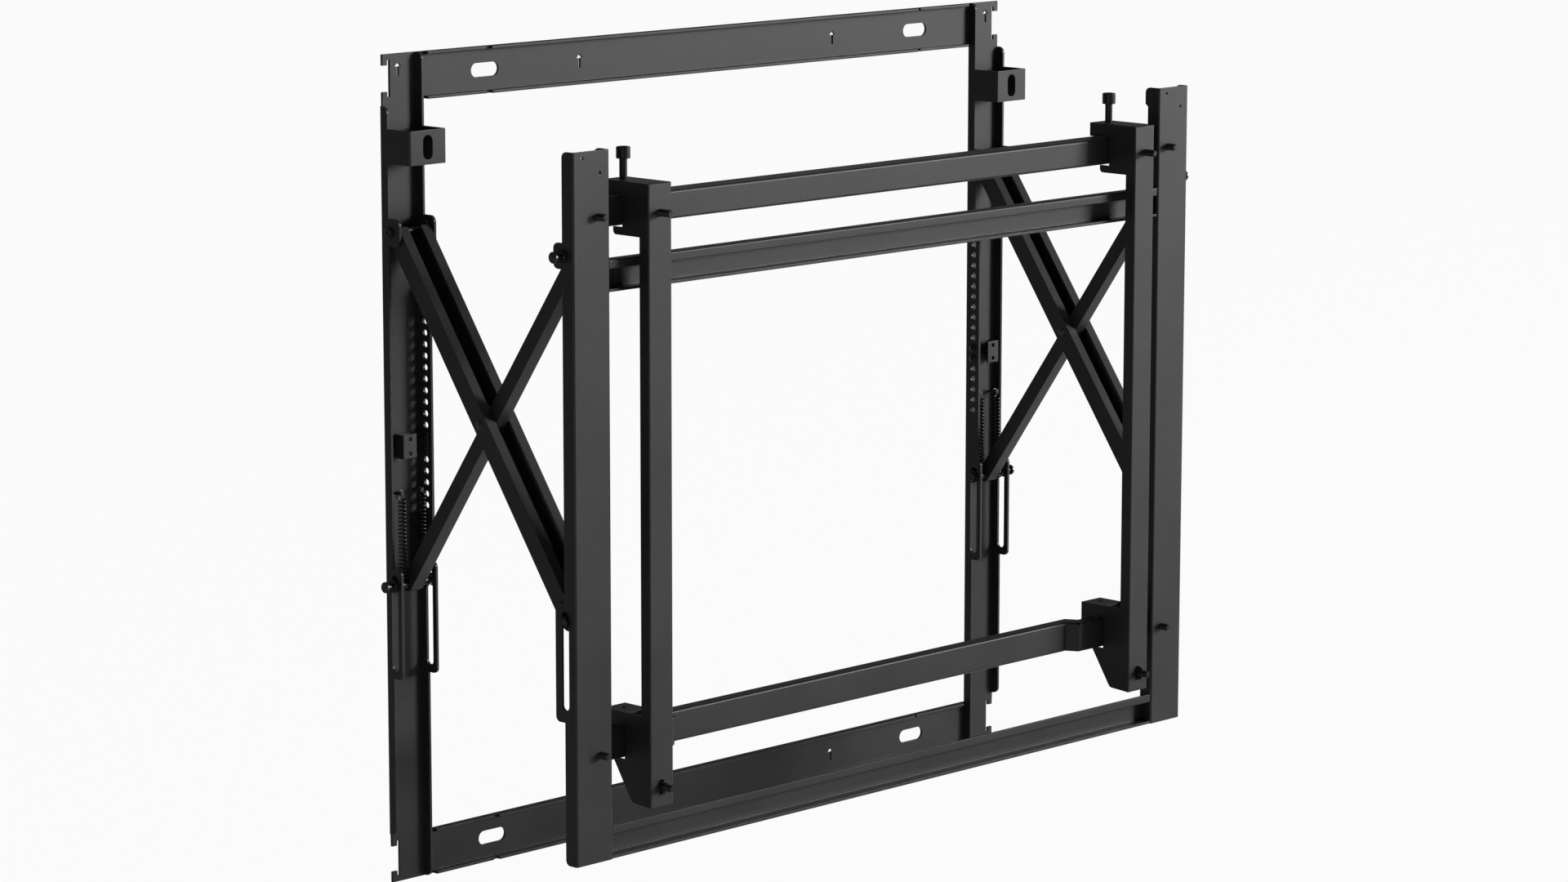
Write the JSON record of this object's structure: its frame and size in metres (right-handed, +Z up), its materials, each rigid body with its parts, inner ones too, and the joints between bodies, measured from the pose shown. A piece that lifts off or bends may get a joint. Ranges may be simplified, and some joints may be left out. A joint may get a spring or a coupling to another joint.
{
  "type": "video wall mount",
  "caption": "Pop-out wall mount for a video wall display: a steel wall frame, side scissor arms and a front frame with sliding display brackets.",
  "frame": {"origin": "centre of the four wall fixing slots, on the wall plane", "axes": "+X to the right along the wall seen from the front, +Y into the wall, +Z up; the front faces -Y"},
  "size_m": [0.6634, 0.2206, 0.593],
  "materials": {
    "black_powder_coat": "satin black powder coat",
    "black_fastener": "black oxide steel",
    "bright_steel": "dark zinc plated steel",
    "spring_steel": "dark oiled spring steel"
  },
  "bodies": {
    "screw_left": {"adjusting_screw_left": "black_fastener"},
    "screw_right": {"adjusting_screw_right": "black_fastener"},
    "wall_frame": {"catch_bracket_left": "black_powder_coat", "catch_bracket_right": "black_powder_coat", "inner_spring_left": "spring_steel", "inner_spring_right": "spring_steel", "outer_spring_left": "spring_steel", "outer_spring_right": "spring_steel", "stop_tab_left": "black_powder_coat", "stop_tab_right": "black_powder_coat", "tab_screws_left": "black_fastener", "tab_screws_right": "black_fastener", "wall_pivot_bolt_left": "black_fastener", "wall_pivot_bolt_right": "black_fastener", "wall_pivot_nut_left": "black_fastener", "wall_pivot_nut_right": "black_fastener", "wall_rail_bottom": "black_powder_coat", "wall_rail_top": "black_powder_coat", "wall_upright_left": "black_powder_coat", "wall_upright_right": "black_powder_coat"},
    "outer_arm_left": {"cross_pin_left": "bright_steel", "front_slide_nuts_left": "black_fastener", "front_slide_pin_left": "bright_steel", "outer_arm_left": "black_powder_coat"},
    "outer_arm_right": {"cross_pin_right": "bright_steel", "front_slide_nuts_right": "black_fastener", "front_slide_pin_right": "bright_steel", "outer_arm_right": "black_powder_coat"},
    "bracket_left": {"display_bracket_left": "black_powder_coat", "display_studs_left": "black_fastener"},
    "bracket_right": {"display_bracket_right": "black_powder_coat", "display_studs_right": "black_fastener"},
    "front_frame": {"frame_studs": "black_fastener", "front_pivot_axle_left": "bright_steel", "front_pivot_axle_right": "bright_steel", "front_pivot_washer_left": "black_fastener", "front_pivot_washer_right": "black_fastener", "front_rail_lower": "black_powder_coat", "front_rail_upper": "black_powder_coat", "front_upright_left": "black_powder_coat", "front_upright_right": "black_powder_coat", "hanging_bar_bottom": "black_powder_coat", "hanging_bar_top": "black_powder_coat"},
    "inner_arm_left": {"inner_arm_left": "black_powder_coat", "wall_slide_axle_left": "bright_steel", "wall_slide_washers_left": "black_fastener"},
    "inner_arm_right": {"inner_arm_right": "black_powder_coat", "wall_slide_axle_right": "bright_steel", "wall_slide_washers_right": "black_fastener"},
    "wing_nut_left": {"wing_nut_left": "black_fastener"},
    "wing_nut_right": {"wing_nut_right": "black_fastener"}
  },
  "joints": [
    {"name": "fold", "type": "hinge", "parent": "wall_frame", "child": "outer_arm_left", "pos_m": [-0.30475, -0.01, 0.1726], "axis": [1, 0, 0], "range_deg": [0, 30.26], "stiffness_Nm_per_rad": 5, "springref_deg": -22.92, "deforming": ["inner_spring_left", "outer_spring_left", "inner_spring_right", "outer_spring_right"]},
    {"name": "inner_arm_left_turn", "type": "hinge", "parent": "outer_arm_left", "child": "inner_arm_left", "pos_m": [-0.30475, -0.0978, 0.04699], "axis": [1, 0, 0], "range_deg": [-60.51, 0]},
    {"name": "outer_arm_right_turn", "type": "hinge", "parent": "wall_frame", "child": "outer_arm_right", "pos_m": [0.30475, -0.01, 0.1726], "axis": [1, 0, 0], "range_deg": [0, 30.26]},
    {"name": "inner_arm_right_turn", "type": "hinge", "parent": "outer_arm_right", "child": "inner_arm_right", "pos_m": [0.30475, -0.0978, 0.04699], "axis": [1, 0, 0], "range_deg": [-60.51, 0]},
    {"name": "front_frame_turn", "type": "hinge", "parent": "inner_arm_left", "child": "front_frame", "pos_m": [-0.30475, -0.1856, 0.1726], "axis": [1, 0, 0], "range_deg": [0, 30.26]},
    {"name": "bracket_left_slide", "type": "slide", "parent": "front_frame", "child": "screw_left", "axis": [1, 0, 0], "range_m": [-0.018, 0.017]},
    {"name": "bracket_left_lift", "type": "slide", "parent": "screw_left", "child": "bracket_left", "axis": [0, 0, 1], "range_m": [0, 0.001]},
    {"name": "wing_nut_left_turn", "type": "hinge", "parent": "bracket_left", "child": "wing_nut_left", "pos_m": [-0.2543, -0.2113, -0.2015], "axis": [0, 1, 0], "continuous": true},
    {"name": "bracket_right_slide", "type": "slide", "parent": "front_frame", "child": "screw_right", "axis": [1, 0, 0], "range_m": [-0.017, 0.018]},
    {"name": "bracket_right_lift", "type": "slide", "parent": "screw_right", "child": "bracket_right", "axis": [0, 0, 1], "range_m": [0, 0.001]},
    {"name": "wing_nut_right_turn", "type": "hinge", "parent": "bracket_right", "child": "wing_nut_right", "pos_m": [0.2543, -0.2113, -0.2015], "axis": [0, 1, 0], "continuous": true}
  ],
  "couplings": [
    {"joint": "inner_arm_left_turn", "follows": "fold", "ratio": -2},
    {"joint": "front_frame_turn", "follows": "fold", "ratio": 1},
    {"joint": "outer_arm_right_turn", "follows": "fold", "ratio": 1},
    {"joint": "inner_arm_right_turn", "follows": "fold", "ratio": -2}
  ]
}
